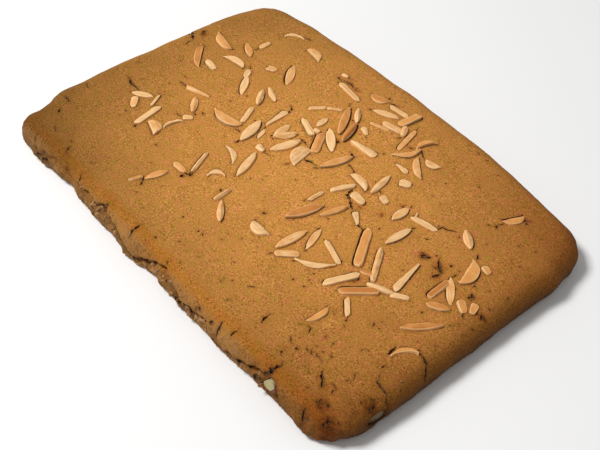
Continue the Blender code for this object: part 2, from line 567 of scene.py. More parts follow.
# x, y, turn in degrees, length, width, toast from 0 to 1, gap, lift. The lengths are millimetres.
# A gap of 1 is a usual one at the left, -2 one twice as wide at the right.
STICKS = (
    (-21.5, 45.5, -8, 12.5, 2.5, 0.25, 1, 0.65), (-1, 53.5, 8, 9, 2.2, 0.25, 0, 0.45),
    (5, 53.5, 85, 11, 3.2, 0.5, -1.6, 0.75), (4, 44.5, 15, 8.5, 3, 0.3, 0, 0.65),
    (0.5, 41, 19, 8, 1.6, 0.4, 0, 0.3), (-22, 28.5, 57, 7, 1.8, 0.3, 0, 0.3),
    (-17, 33.5, 41, 6, 1.4, 0.3, 0, 0.3), (12.5, 44, -76, 13, 2.2, 0.4, -1, 0.65),
    (-62.5, -19.5, -63, 7.2, 1.1, 0.15, 1, 0.45), (-34.5, 3.5, -65, 9.5, 2.3, 0.15, 0, 0.55),
    (-15.5, 18, -20, 9.5, 2.6, 0.1, -1, 0.65), (-6.5, 15, -58, 10.5, 3.6, 0.6, -1.5, 0.65),
    (46.5, 18.5, 12, 10.5, 2.4, 0.05, 1, 0.65), (42, 19, -65, 3, 0.9, 0.1, 0, 0.45),
    (16.5, 6.5, 69, 10, 2.3, 0.15, 0, 0.65), (41.5, -7, -57, 18, 3.5, 0.65, -1.8, 0.75),
    (50, -8.5, -56, 15.5, 2.4, 0.3, -1, 0.65), (13.5, -4, 90, 7, 1.8, 0.2, 0, 0.3),
    (36.5, -17, -18, 11, 2, 0.1, 1, 0.65), (-57, -27, -80, 12.8, 2.6, 0.1, 0, 0.65),
    (-25, -27, -66, 11.5, 1.7, 0.2, -1, 0.55), (-7.5, -30.5, -87, 7.5, 1.9, 0.25, 0, 0.45),
    (-32.5, -50, 75, 5.5, 1.7, 0.4, 0, 0.3), (27.5, -30, 50, 8.5, 2.6, 0.3, 0, 0.65),
    (47, -22.5, 70, 13.5, 2.9, 0, 1, 0.75), (54.5, -21.5, 51, 13.5, 3.5, 0.9, 1.6, 0.75),
    (57, -29, -42, 7.5, 2, 0.2, -1, 0.65), (58, -15, 25, 9, 2, 0.05, 0, 0.65),
    (64.5, -12, 39, 6.5, 2.3, 0.1, 0, 0.65), (70.5, 0.5, -88, 10, 2.8, 0.85, -1.4, 0.65),
)
LENSES = (
    (-65, 29.5, -27, 8.5, 3.1, 0.6, -1, 0.55), (-43, 33, -54, 12.5, 3.6, 0.35, -1.6, 0.65),
    (-3, 48, 25, 10.5, 3.2, 0.2, 0, 0.65), (-9, 38, -47, 8, 2.6, 0.2, 1, 0.55),
    (-10, 32, -58, 16, 3.2, 0.7, 1.4, 0.75), (-4, 29, -72, 11.5, 2.7, 0.95, 2.0, 0.75),
    (-14.5, 24.5, -83, 6.5, 2.7, 0.25, 0, 0.55), (-49, 14, -52, 12, 3.2, 0.1, -1, 0.65),
    (-54, 19.5, -60, 5.5, 2.6, 0.1, 0, 0.55), (-51.5, -9, -45, 9, 3, 0.35, 0, 0.55),
    (-68, -21.5, 37, 8.5, 3, 0.2, 1, 0.55), (-38, 19, -22, 8, 2.6, 0.2, 0, 0.55),
    (-39.5, 14, -54, 9, 2.9, 0.15, 1, 0.55), (-27, -1, -75, 13, 4.2, 0.1, 1, 0.65),
    (-23.5, 1.5, -70, 6, 1.9, 0.15, -1, 0.45), (-20, 8.5, -82, 9.5, 3.2, 0.2, 0, 0.55),
    (-17, 8.5, 65, 8.5, 3.3, 0.25, 0, 0.55), (-5, 20.5, -38, 12.5, 3.8, 0, -1, 0.65),
    (-13, 4.5, 75, 12.5, 4.2, 0.15, 0, 0.65), (-14, -13.5, -69, 14.5, 3.5, 0.2, -1, 0.65),
    (5, 14, 75, 13.5, 3.3, 0.5, -1, 0.65), (23.5, 19, -80, 12, 2.8, 0.1, 0, 0.65),
    (38, 15, 90, 8.5, 3.5, 0.3, ALL_ROUND, 0.65), (45, 7, 86, 12, 3.1, 0.1, -1, 0.65),
    (23, -4, 75, 11, 2.6, 0.5, 0, 0.65), (16.5, -12, 74, 15, 4.2, 0.8, -1, 0.75),
    (28, -18, -70, 11, 2.6, 0.3, -1, 0.65), (61.5, 25.5, -35, 8.5, 3.6, 0.3, 1, 0.55),
    (73.5, 3.5, -48, 11.5, 3.1, 0.35, -1, 0.65), (75.5, -5, 33, 8, 3, 0.8, 0, 0.65),
    (78, -15.5, 56, 14, 3, 0.75, 0, 0.65), (-1.5, -36, -42, 9.5, 2.7, 0.35, 1, 0.65),
    (23.5, -24.5, 87, 13.5, 3.4, 0.3, 0, 0.75), (-29.5, -43, 77, 9, 2.8, 0.55, 0, 0.45),
    (51, -13.5, 35, 6, 2, 0.75, 0, 0.55),
)
HALFMOONS = (
    (-47, 50, 172, 8.5, 3.6, 0.35, 1, 0.55), (-75, 24, -10, 11.5, 3.8, 0.5, 1, 0.65),
    (-11, 52.5, 22, 8.5, 4, 0.7, 0, 0.55), (27.5, 42.5, 16, 6.5, 3.2, 0.25, 0, 0.55),
    (25.5, 36.5, -40, 11, 3, 0.4, 1, 0.65), (65.5, 46.5, 68, 8.5, 3, 0.6, 2.4, 0.55),
    (-62.5, 20.5, 190, 10, 3.1, 0.15, 0.6, 0.65), (-74, 10.5, -46, 13, 3.1, 0.75, 1, 0.65),
    (-37.5, -4, 13, 13, 4.2, 0.45, -1, 0.65), (18, 14, 172, 9.5, 3.1, 0.2, 1, 0.65),
    (72.5, 14.5, 108, 12, 4.6, 0.55, -1, 0.75), (-50, -29, 160, 7.5, 4.4, 0.35, 1, 0.55),
    (13, -30.5, 0, 8.2, 4.2, 0.1, 1, 0.65), (53.5, -38.5, 88, 9.5, 2.5, 0.55, 1, 0.65),
    (-6, 5.5, -80, 11, 5.4, 0.2, 1, 0.65),
)
CRESCENTS = (
    (-61.5, 51, 44, 8, 3.4, 0.15, 1, 0.55), (18, 48, 78, 9.5, 3.6, 0.45, -1, 0.65),
    (18, 39, 245, 12, 3.8, 0.4, 1, 0.65), (-21.5, -14.5, -26, 9.5, 3.6, 0, 0, 0.55),
    (-17, -25.5, 55, 6.5, 4, 0.1, 1, 0.55), (36.5, -25.5, 220, 14, 3.6, 0.1, 0, 0.55),
    (81.5, -27, 58, 9, 3.4, 0.6, 1, 0.55), (-48, -22, 80, 8, 2.8, 0.2, 0, 0.3),
)
WEDGES = (
    (-56.5, -3.5, 18, 10.5, 2.8, 0.35, 1, 0.55), (6, 27, 190, 11.5, 4.4, 0.1, -1, 0.65),
    (-26.5, 11.5, -84, 11.5, 3.2, 0.05, -1, 0.55), (30, 0.5, -35, 6, 2.9, 0.1, ALL_ROUND, 0.55),
    (60, -4, 100, 15, 3, 0.1, -1, 0.65), (22, 31.5, 180, 6, 2.5, 0.05, 0, 0.45),
)
CHIPS = (
    (-63.5, 37, 85, 5.5, 2.3, 0.3, 0, 0.45), (-50.5, 29.5, 20, 4.2, 3.5, 0.35, 0, 0.3),
    (-30, 51.5, 0, 3, 2, 0.3, 0, 0.3), (8.5, 46.5, -65, 5.5, 2.5, 0.25, 0, 0.75),
    (-1, 34.5, -30, 4.5, 2.3, 0, 0, 0.3), (28.5, 27, 20, 4.6, 3.8, 0, 0, 0.55),
    (75, 20, -25, 3.8, 2.7, 0.35, 0, 0.65), (-66.5, 11, -12, 6, 2.8, 0.1, -1, 0.45),
    (-47, -15.5, 40, 4, 2.6, 0.2, 0, 0.45), (-12, 19.5, 10, 2.6, 2.4, 0.2, 0, 0.55),
    (-17.5, -4, -10, 4, 2.6, 0, 0, 0.55), (29.5, 15, -25, 4.2, 2.8, 0.3, 0, 0.55),
    (23.5, 7.5, -8, 6.5, 3.5, 0.2, 0, 0.75), (80.5, 1.5, -40, 5.5, 3.1, 0.5, 0, 0.65),
    (83.5, 4, -70, 4.6, 2.7, 0.5, 0, 0.55), (-27.5, -34, -5, 6, 2.6, 0.45, 0, 0.15),
    (-66.5, -26.5, -48, 6, 2.8, 0.25, 0, 0.45),
)
STREWN = {
    "stick": STICKS, "lens": LENSES, "halfmoon": HALFMOONS,
    "crescent": CRESCENTS, "wedge": WEDGES, "chip": CHIPS,
}
print("slivers", {kind: len(rows) for kind, rows in STREWN.items()})

# %% [markdown]
# A sliver lies with most of its thickness sunk in the dough. A ray shot down on the crust finds
# the height of the dough under it. The sliver then leans a little, down into the gap beside it,
# because the dough let go of it there.

# %% Laying one sliver
surface = BVHTree.FromObject(crust, bpy.context.evaluated_depsgraph_get())
SKY_HEIGHT = 30 * MM
SLIVER_THICKNESS = {
    "stick": 2.4, "lens": 2.2, "halfmoon": 2.1, "crescent": 2.1, "wedge": 2.1, "chip": 2.0,
}
NARROWER = 0.95  # all the slivers, against the widths in the lists
LEAN = math.radians(-6)  # below 0, the edge at the gap lies lower
ROLL_SPREAD, PITCH_SPREAD = 0.16, 0.03
RIDGES = (-0.15 * MM, 0.60 * MM)  # a sliver's middle is hollow or stands up as a ridge
OBLIQUE = 0.45  # how far a cut end may slant, in widths
TOP_LIMIT = high.z + 0.40 * MM


def dough_height(x, y):
    """Height of the crust at a place, in metres."""
    spot = surface.ray_cast(Vector((x, y, SKY_HEIGHT)), Vector((0, 0, -1)))[0]
    return spot.z if spot else low.z


def copy_of(master, name, matrix):
    """A copy with its own mesh, moved in the mesh and not in the object."""
    made = master.copy()
    made.data = master.data.copy()
    made.name = name
    made.data.transform(matrix)
    bpy.context.scene.collection.objects.link(made)
    return made


def size_of(row, thick, grow=0.0):
    """The matrix that scales a master to a row's size, and grown all round for a tool."""
    return Matrix.Diagonal((
        (row[3] + 2 * grow) * MM / MASTER_LENGTH,
        (row[4] * NARROWER + 2 * grow) * MM / MASTER_WIDTH,
        thick * MM / MASTER_THICKNESS,
        1,
    ))


def spin_of(row):
    return Matrix.Rotation(math.radians(row[2]), 4, "Z")


def place_of(row, sink=0.0, shift=0.0):
    """A row's place at the height of the dough, less a sink, and shifted to the sliver's left."""
    place = Vector((row[0] * MM, row[1] * MM, 0)) + spin_of(row) @ Vector((0, shift * MM, 0))
    place.z = dough_height(row[0] * MM, row[1] * MM) - sink * MM
    return Matrix.Translation(place)


def slant_ends(mesh, amount):
    """Shear the two ends lengthwise, as a knife that came down askew leaves them."""
    for vert in mesh.vertices:
        nearness = abs(vert.co.x / (MASTER_LENGTH / 2)) ** 5
        vert.co.x += amount * vert.co.y * nearness


def raise_ridge(mesh, amount):
    """Lift the middle line of the upper face, so that it has two facets instead of one."""
    for vert in mesh.vertices:
        if vert.co.z > 0:
            half = MASTER_WIDTH / 2
            vert.co.z += amount * max(0.0, 1 - abs(vert.co.y) / half)


def lay(kind, row, index, rng):
    """One sliver in its bed, with its toast kept as an attribute."""
    thick = SLIVER_THICKNESS[kind]
    side = math.copysign(1, row[6]) if 0 < abs(row[6]) < ALL_ROUND else 0
    roll = side * LEAN + rng.uniform(-ROLL_SPREAD, ROLL_SPREAD)
    tilt = Euler((roll, rng.uniform(-PITCH_SPREAD, PITCH_SPREAD), 0))
    made = copy_of(masters[kind], f"{kind}_{index}", Matrix.Identity(4))
    slant_ends(made.data, rng.uniform(-OBLIQUE, OBLIQUE))
    raise_ridge(made.data, rng.uniform(*RIDGES))
    place = place_of(row, sink=thick / 2 - row[7])
    made.data.transform(place @ spin_of(row) @ tilt.to_matrix().to_4x4() @ size_of(row, thick))
    toast = made.data.attributes.new("toast", "FLOAT", "POINT")
    toast.data.foreach_set("value", [row[5]] * len(made.data.vertices))
    for loop in made.data.uv_layers["grain"].data:
        loop.uv.x += index
    return made


# %% Laying them all
rng = random.Random(7)
PIECE_NAMES = {
    "stick": "almond_sticks", "lens": "almond_lenses", "halfmoon": "almond_half_moons",
    "crescent": "almond_crescents", "wedge": "almond_wedges", "chip": "almond_chips",
}
almonds = {}
for kind, rows in STREWN.items():
    laid = [lay(kind, row, index, rng) for index, row in enumerate(rows)]
    piece = joined(laid, PIECE_NAMES[kind])
    lump(piece, kind + "_dents", 2.8 * MM, 1, 0.30 * MM)
    lump(piece, kind + "_scars", 0.9 * MM, 1, 0.12 * MM)
    spots = spots_of(piece)
    spots[:, 2] = np.minimum(spots[:, 2], TOP_LIMIT)
    put_spots(piece, spots)
    almonds[kind] = piece
    print(piece.name, len(rows), "slivers", triangles(piece), "triangles")

# %% [markdown]
# ## Gaps, cracks and pores
#
# As the dough rose it let go of the almonds and tore in places. These openings are narrow and
# deep, so they are cut out of the skin with a Boolean. Each tool is simple: for a gap, a copy of
# the sliver a little wider and shifted to the open side; for a crack, a thin tube drawn along it
# and stretched downwards; for a pore, a small bent ball. The tools carry a second material, a dark
# brown painted shade, which the Boolean leaves on the walls that it cuts.

# %% Beds for the slivers
# The lengths are millimetres.
GAP_WIDTH = 0.42
SLACK = 0.06  # a bed is wider than its sliver all round by this
LEAST_SHIFT = 0.14  # even a sliver that fits well has a fine line along one side
ALL_ROUND_SLACK = 0.35
BED_DEPTH = 1.9
blocks = {kind: block(kind, "block_" + kind) for kind in OUTLINES}
tools = []


def bed_tool(kind, row, index):
    """The room that a sliver and the gap beside it take."""
    all_round = row[6] == ALL_ROUND
    grow = ALL_ROUND_SLACK if all_round else SLACK
    shift = 0 if all_round else GAP_WIDTH * row[6] or LEAST_SHIFT * (-1) ** index
    matrix = place_of(row, shift=shift) @ spin_of(row) @ size_of(row, BED_DEPTH, grow)
    return copy_of(blocks[kind], f"bed_{kind}_{index}", matrix)


for kind, rows in STREWN.items():
    for index, row in enumerate(rows):
        tools.append(bed_tool(kind, row, index))
print("beds", len(tools))

# %% Cracks in the top
# Each crack is a rough width, and then the places that it passes, in millimetres.
CRACKS = (
    (0.4, (-28.5, 49), (-25.5, 49.8), (-21.5, 48.8)), (0.5, (-31, 48.3), (-28, 47.8)),
    (0.3, (19.5, 45.1), (21, 43.9), (22.5, 43.2), (24, 42.5)),
    (0.5, (67, 49.5), (68.1, 50.1), (69, 51.5)), (0.5, (68.5, 49.3), (69.5, 48.5)),
    (0.3, (56.5, 25.4), (53.5, 23.1), (51.5, 22.7), (51.5, 19.6)),
    (0.5, (-61.5, -5), (-63.5, -4.7), (-65.5, -5)), (0.3, (-68, -1.8), (-65.5, -1.7)),
    (0.5, (-46.5, -8.9), (-45, -9.9)), (0.4, (-47.5, -11.8), (-46.5, -12.4)),
    (0.5, (-70.5, -21.3), (-73.4, -20.9), (-75.4, -21.4), (-77.3, -20.4), (-80.2, -19.9)),
    (0.7, (-86.1, 16.5), (-84.7, 15.6), (-83.3, 15.1)), (0.3, (-83.5, 13.4), (-83, 10.6)),
    (0.5, (-29, 20.9), (-27.5, 20.2), (-26.5, 19.2)), (0.4, (-31.5, -4.9), (-28.5, -4.5)),
    (0.4, (-13, 11.8), (-10.1, 11.8), (-8.2, 11.2)), (0.6, (-3.9, 5.8), (-2.5, 5.2), (-0.5, 6.5), (2, 6.8)),
    (0.6, (4.8, 22.1), (6, 21.4), (7.5, 21.6)), (0.5, (8, 17.2), (10.8, 16.4), (13.3, 15.6)),
    (0.3, (23.5, 15.6), (25.3, 16.6), (26.5, 16.4)),
    (0.7, (18.5, 9.6), (19.1, 7.2), (19.9, 5.5), (22, 5), (24.5, 3), (26.3, 2.2)),
    (0.4, (31.5, -1.6), (34.1, -0.9), (35.8, -1.9)), (0.4, (12, -8), (13, -8.8)),
    (0.4, (69.7, 20.9), (69.3, 22.1), (68, 23.5)),
    (0.6, (61, 11.4), (62, 9.6), (63.5, 8.6), (66, 6.9), (65.5, 3.5)), (0.5, (65.5, 12.5), (66.5, 11.5)),
    (0.5, (84.7, -22.9), (86.1, -23.4), (88.4, -23.3), (89.5, -24.6), (91, -26)),
    (0.4, (78.3, -27.2), (78.5, -29.7), (78.9, -32.1)),
    (0.4, (82.9, -39.3), (84.1, -41.6), (85.9, -41.7), (88.4, -41.4), (89.6, -42.6), (91.2, -42.4)),
    (0.3, (81, -35), (81.1, -37.4)), (0.4, (77.3, -45.1), (78.1, -45.7), (78.9, -46.9)),
    (0.3, (67.1, -26.3), (67.8, -27.9)), (0.3, (54.5, -43.9), (55.8, -44.5), (56.5, -45.9)),
    (0.3, (54.1, -51.3), (55.5, -52.5), (57.1, -52.8)), (0.4, (60.7, -50.2), (61.4, -50.9)),
    (0.5, (62.4, -49.7), (63.2, -50.8)), (0.3, (63.9, -49.5), (65.5, -49.7), (67.7, -49.9)),
    (0.6, (69.9, -52), (70.8, -53), (71.8, -53.7), (72.6, -54.3), (73.5, -55.2), (74.5, -56.6)),
    (0.3, (75.4, -53), (78.1, -53.6)), (0.4, (77.7, -54.3), (78.3, -55.7)),
    (0.5, (77.7, -59.5), (78.2, -61), (79.3, -62)), (0.5, (76.1, -64.7), (77.6, -66.4), (79.2, -65.9)),
    (0.5, (60.4, -60.2), (61.1, -61.8)), (1.15, (60.7, -61.4), (60.1, -63.3), (59.3, -65.3), (58.2, -66.8)),
    (0.9, (58.8, -65.6), (56.4, -66.2), (54.4, -66.6)),
    (0.5, (88.2, -60), (89.4, -61.2)), (0.4, (43.3, -50.7), (43.6, -53.5), (44.5, -55.8)),
    (0.3, (42.1, -63.7), (41.6, -66)), (0.5, (35.9, -64.5), (36.4, -66.5), (36, -68.4)),
    (0.3, (24.2, -65.8), (25, -67.2)), (0.3, (5.1, -63.5), (5.7, -66)),
    (0.5, (-13.1, -62.3), (-12.8, -63.9), (-13, -65.1), (-12.2, -67.2)),
    (0.5, (-59.8, -59.8), (-59.1, -61.3), (-58.1, -62.7)), (0.5, (-46.7, -63.9), (-45.3, -65.5)),
    (0.5, (-85.7, -35.3), (-83.5, -36.2)), (0.4, (-84.1, -46.2), (-82.6, -46.1), (-80.6, -46.4)),
    (0.5, (-79.5, -51.5), (-78.1, -52.9)), (0.4, (-72.3, -58.1), (-70.2, -59.3)),
    (0.4, (-73.9, -64.9), (-73, -66.8)), (0.3, (30.3, -49.5), (32, -48.1)),
)
CRACK_STRETCH = 3.0  # depth against width
CRACK_STEP = 0.8
CRACK_WIDENING = 1.6  # all the cracks, against the widths in the list
JITTER = 0.22  # a crack strays this far from its way, in millimetres
BEADS = (0.35, 0.7, 1.1, 1.5)  # a crack opens and closes by these shares along its way


def crack_tool(width, places, rng):
    """A thin tube along a crack, bent to and fro and drawn out to points."""
    curve = bpy.data.curves.new("crack_tool", "CURVE")
    curve.dimensions = "3D"
    curve.twist_mode = "Z_UP"
    curve.bevel_depth = width * CRACK_WIDENING * MM / 2
    curve.bevel_resolution = 0
    curve.use_fill_caps = True
    fine = []
    for start, end in zip(places, places[1:]):
        parts = max(2, round(math.dist(start, end) / CRACK_STEP))
        for part in range(parts):
            share = part / parts
            fine.append([start[axis] + (end[axis] - start[axis]) * share for axis in (0, 1)])
    fine.append(list(places[-1]))
    spline = curve.splines.new("POLY")
    spline.points.add(len(fine) - 1)
    for index, (point, (x, y)) in enumerate(zip(spline.points, fine)):
        middle = min(index, len(fine) - 1 - index) / (len(fine) - 1) * 2
        x, y = x + rng.uniform(-JITTER, JITTER), y + rng.uniform(-JITTER, JITTER)
        z = dough_height(x * MM, y * MM)
        point.co = (x * MM, y * MM, z / CRACK_STRETCH, 1)
        point.radius = (0.3 + 0.7 * middle ** 0.5) * rng.choice(BEADS)
    obj = bpy.data.objects.new("crack_tool", curve)
    bpy.context.scene.collection.objects.link(obj)
    pick(obj)
    bpy.ops.object.convert(target="MESH")
    tool = bpy.context.object
    edit_all(tool, bpy.ops.mesh.remove_doubles, threshold=0.001 * MM)
    tool.data.transform(Matrix.Diagonal((1, 1, CRACK_STRETCH, 1)))
    return tool


rng = random.Random(21)
for width, *places in CRACKS:
    tools.append(crack_tool(width, places, rng))

TIP_CRACK_SHARE = 0.45
tip_cracks = 0
for row in [row for rows in STREWN.values() for row in rows]:
    if rng.random() > TIP_CRACK_SHARE:
        continue
    heading = math.radians(row[2]) + rng.choice((0, math.pi))
    reach = row[3] / 2
    x, y = row[0] + reach * math.cos(heading), row[1] + reach * math.sin(heading)
    places = [(x, y)]
    for _ in range(rng.randint(1, 3)):
        heading += rng.uniform(-0.7, 0.7)
        step = rng.uniform(0.7, 1.5)
        x, y = x + step * math.cos(heading), y + step * math.sin(heading)
        places.append((x, y))
    tools.append(crack_tool(rng.uniform(0.2, 0.4), places, rng))
    tip_cracks += 1
print("cracks", len(CRACKS), "and", tip_cracks, "from the tips of slivers")

# %% Pores and hollows
# x, y and width of each pore in the top, in millimetres.
PORES = (
    (-8.9, 55.9, 1.0), (-8.8, 45, 0.9), (-3, 22.2, 1.6), (12.5, 31.6, 0.7), (30.3, 28.9, 0.9),
    (37.2, 39.9, 0.8), (46.4, 58.8, 0.6), (46.2, 48.5, 0.7), (34.4, 61.5, 0.6), (38.6, 61.2, 0.5),
    (63.5, 38.8, 1.0), (61.2, 37.2, 0.6), (80, 41, 0.6), (74.4, 38.1, 0.5), (77.2, 47.3, 0.6),
    (86.2, 49.1, 0.6), (66.8, 29.5, 0.5), (58.7, 23.9, 0.7), (81.1, 30.6, 0.6), (-76, 2.9, 0.6),
    (-44.7, 3.5, 0.6), (-67.5, -9.1, 0.6), (-84.5, -11.4, 0.7), (-43.2, 10.6, 0.6), (-26.5, 18.1, 1.0),
    (-25.3, 4.8, 0.8), (-20.5, 4, 1.0), (-14.9, 9, 0.8), (-5.1, -11.4, 0.5), (-30.3, 4, 0.6),
    (21.2, 18.7, 0.7), (25.4, -13.6, 0.8), (41.2, -17.1, 0.7), (38.5, 3.8, 0.8), (8.3, -24.1, 1.3),
    (79.6, 7.9, 1.7), (79.3, 6.5, 1.2), (57, 7.6, 2.0), (58.5, 8.6, 1.2), (63.5, 8.5, 1.3),
    (65.3, 3.5, 1.2), (87, 4.5, 1.4), (88.3, 5, 1.0), (87.3, 17.7, 0.6), (81.8, 14.2, 0.6),
    (77.2, 11.7, 0.7), (52.2, 14.2, 0.9), (88.2, -1.2, 0.7), (61.4, -3.9, 0.7), (69.5, 12.3, 0.6),
    (50, -17.9, 1.8), (48.8, -20.9, 1.4), (77.7, -48.5, 0.6), (-64.2, -31.9, 0.9),
    (-55.1, -34.1, 1.1), (-22.5, -32.7, 1.8), (-23.7, -36, 1.6), (-9.5, -29.4, 1.2),
    (-31.1, -47.9, 1.3), (-42, -34.1, 0.7), (-7.3, -47.8, 0.8), (1, -47.5, 0.7),
    (3, -47.2, 0.6), (-5.1, -61.1, 0.8), (31.1, -30.1, 0.7), (41.5, -34.5, 0.9), (37.1, -35.5, 0.8),
    (39.5, -28.2, 0.6), (58.9, -53, 1.2), (57, -57.7, 1.2), (65, -47.2, 0.8), (64.8, -42.5, 0.7),
    (68, -46.3, 0.7), (61.8, -35, 0.5), (69.7, -26.8, 0.6), (83.9, -62.2, 1.6), (83.7, -63.3, 1.2),
    (80.8, -59.3, 0.9), (89, -47.5, 1.2), (88.8, -49, 1.2), (86.4, -63.9, 0.8), (59.7, 11.1, 0.8),
)
# The notch in the left rim is five bites that run inwards and get shallower: x, y, width, depth.
NOTCH = (
    (-92.5, 19.4, 4.2, 12), (-90.6, 18.7, 3.6, 11), (-88.8, 18, 2.8, 9), (-87.2, 17.3, 2.0, 5),
    (-85.6, 16.4, 1.2, 2),
)
# x, z and width of each hollow in the torn side.
HOLLOWS = (
    (-70.5, 4.5, 2.0), (-66.5, 4.4, 3.0), (-54.5, 7.6, 1.4), (-43, 7.4, 1.8), (-35.5, 8, 2.2),
    (-28.5, 11.5, 1.8), (-29.5, 9.2, 1.6), (-26.5, 8.6, 1.4), (-20.5, 7.2, 2.4),
    (-18, 5.8, 2.2), (-14, 4.4, 3.2), (-11.5, 3.6, 2.6), (-9, 3, 3.0), (-4, 4.6, 2.4),
    (4.5, 8.6, 2.4), (11.5, 8.4, 2.0), (14.5, 6.8, 1.6), (17.5, 3.6, 2.8), (22.5, 4.6, 2.6),
    (41.5, 2.2, 2.2), (46.5, 3.6, 2.6), (51.5, 5.6, 1.8), (56.5, 7.4, 3.0), (59, 9.2, 2.4),
)
PORE_DEPTH = 0.75  # of its width
BEND, BEND_SPAN = 0.45, 0.55  # how much a ball is bent, and over how much of its width
BEND_SHIFT = 300  # so that balls far apart aren't bent alike
SPRINKLED_PORES = 60
SIDE_PORES = 30
BITES = 3  # in each browned place

bpy.ops.object.select_all(action="DESELECT")
bpy.ops.mesh.primitive_ico_sphere_add(subdivisions=2, radius=0.5)
pore_master = bpy.context.object
pore_master.name = "master_pore"


def bent_ball(place, width, depth, rng, master):
    """A small ball, squeezed and bent, that bites a pore out of the skin or stands as a crumb."""
    squeeze = Matrix.Diagonal((width * rng.uniform(0.7, 1.5), width * rng.uniform(0.6, 1.0), depth, 1))
    spin = Matrix.Rotation(rng.uniform(0, math.tau), 4, "Z")
    made = copy_of(master, "bent_ball", Matrix.Translation(place) @ spin @ squeeze)
    centre = Vector(place)
    for vert in made.data.vertices:
        bend = 1 + BEND * noise.noise(vert.co / (BEND_SPAN * width) + centre * BEND_SHIFT)
        vert.co = centre + (vert.co - centre) * bend
    return made


def side_place(x, z):
    """A place on the torn front side at a height."""
    return surface.ray_cast(Vector((x, low.y - SKY_HEIGHT, z)), Vector((0, 1, 0)))[0]


def top_place(x, y):
    """A place on the top of the crust."""
    return Vector((x, y, dough_height(x, y)))


def bite(place, width, depth):
    """Add a tool that bites a pore."""
    tools.append(bent_ball(place, width, depth, rng, pore_master))


rng = random.Random(5)
cut_before = len(tools)
for x, y, width in PORES:
    bite(top_place(x * MM, y * MM), width * MM, 2 * PORE_DEPTH * width * MM)
for x, y, width, depth in NOTCH:
    bite(Vector((x * MM, y * MM, high.z)), width * MM, 2 * depth * MM)
for x, z, width in HOLLOWS:
    bite(side_place(x * MM, z * MM), width * 1.1 * MM, width * 0.8 * MM)
for _ in range(SPRINKLED_PORES):
    x, y = rng.triangular(-60, 88, 88) * MM, rng.triangular(-64, 62, -60) * MM
    width = rng.uniform(0.3, 0.65) * MM
    bite(top_place(x, y), width, 2 * width)
for _ in range(SIDE_PORES):
    x, z = rng.uniform(-76, 76) * MM, rng.triangular(1.5, 11, 4) * MM
    width = rng.uniform(0.5, 1.5) * MM
    bite(side_place(x, z), width, width)
for x, y, radius, amount in BROWNED:
    for _ in range(BITES):
        away, angle = rng.uniform(0, 0.8) * radius, rng.uniform(0, math.tau)
        bite_x, bite_y = (x + away * math.cos(angle)) * MM, (y + away * math.sin(angle)) * MM
        width = rng.uniform(0.4, 1.2) * amount * MM
        bite(top_place(bite_x, bite_y), width, width)
print("pores and hollows", len(tools) - cut_before)

# %% [markdown]
# ## Two whole almonds in the sides
#
# The dough holds pieces of whole almond too, brown skin and all, and two show where the sides
# were cut through them: one beside the big crack of the front side, one low in the right side.
# A kernel starts as a ball pulled to a blunt egg. Bisect cuts it flat where the knife went, and a
# slightly larger copy, cut a little deeper, is its skin. Its bed is cut out of the crust as well.

# %% Kernels cut through
# Middle, half lengths, turn in degrees and the way that the cut face looks.
KERNELS = (
    ((62.0, -66.4, 8.4), (2.4, 2.2, 1.5), (0, 4, 2), (0.05, -0.90, 0.40)),
    ((89.2, -47.2, 5.8), (4.3, 3.0, 1.8), (0, 0, 86), (0.93, -0.10, 0.34)),
)
SKIN_SHIFTS = ((0.75, 0.4, -0.45), (0.3, 0.5, -0.2))
SKIN_GROWTH, BED_GROWTH = 1.05, 1.16
CUT_DEPTH = 0.40  # of the smallest half length, from the middle to the cut face
END_CUT = 0.74  # of the half length, from the middle to each cut end


def cut_flat(obj, level, normal):
    """Cut off what lies beyond a plane, and close the cut."""
    beyond = {"plane_co": level, "plane_no": normal, "clear_outer": True}
    edit_all(obj, bpy.ops.mesh.bisect, use_fill=True, **beyond)


def kernel(name, row, grow, shift, cut):
    """A blunt egg, cut flat and closed."""
    middle, halves, turned, facing = row
    place = Vector(middle) * MM + Vector(shift) * MM
    bpy.ops.object.select_all(action="DESELECT")
    bpy.ops.mesh.primitive_uv_sphere_add(segments=28, ring_count=16, radius=1)
    egg = bpy.context.object
    egg.name = name
    for vert in egg.data.vertices:
        blunt = 1 + 0.15 * vert.co.x
        vert.co.y *= blunt
        vert.co.z *= blunt
    cut_flat(egg, (END_CUT, 0, 0), (1, 0.3, -0.25))
    cut_flat(egg, (-END_CUT, 0, 0), (-1, 0.2, 0.3))
    size = Matrix.Diagonal([half * grow * MM for half in halves] + [1])
    spin = Euler([math.radians(angle) for angle in turned]).to_matrix().to_4x4()
    egg.data.transform(Matrix.Translation(place) @ spin @ size)
    if cut is not None:
        normal = Vector(facing).normalized()
        cut_flat(egg, Vector(middle) * MM + normal * cut * min(halves) * MM, normal)
    return egg


flesh_parts, skin_parts = [], []
for index, (row, shift) in enumerate(zip(KERNELS, SKIN_SHIFTS)):
    flesh_parts.append(kernel(f"flesh_{index}", row, 1.0, (0, 0, 0), CUT_DEPTH))
    skin_parts.append(kernel(f"skin_{index}", row, SKIN_GROWTH, shift, CUT_DEPTH - 0.06))
    tools.append(kernel(f"bed_{index}", row, BED_GROWTH, (0, 0, 0), None))
flesh = joined(flesh_parts, "side_almond_flesh")
kernel_skin = joined(skin_parts, "side_almond_skin")
lump(flesh, "flesh_dents", 1.8 * MM, 1, 0.5 * MM)
lump(kernel_skin, "skin_wrinkles", 1.0 * MM, 1, 0.25 * MM)
print("kernels", triangles(flesh), "+", triangles(kernel_skin), "triangles")

# %% [markdown]
# The fast Boolean wants a cutter that doesn't cut through itself, and many tools overlap. So the
# tools are dealt out into rounds, like cards: each goes into the first round where its box is
# clear of the others, and each round is cut on its own.

# %% Cut them all, round by round
CLEARANCE = 0.05 * MM


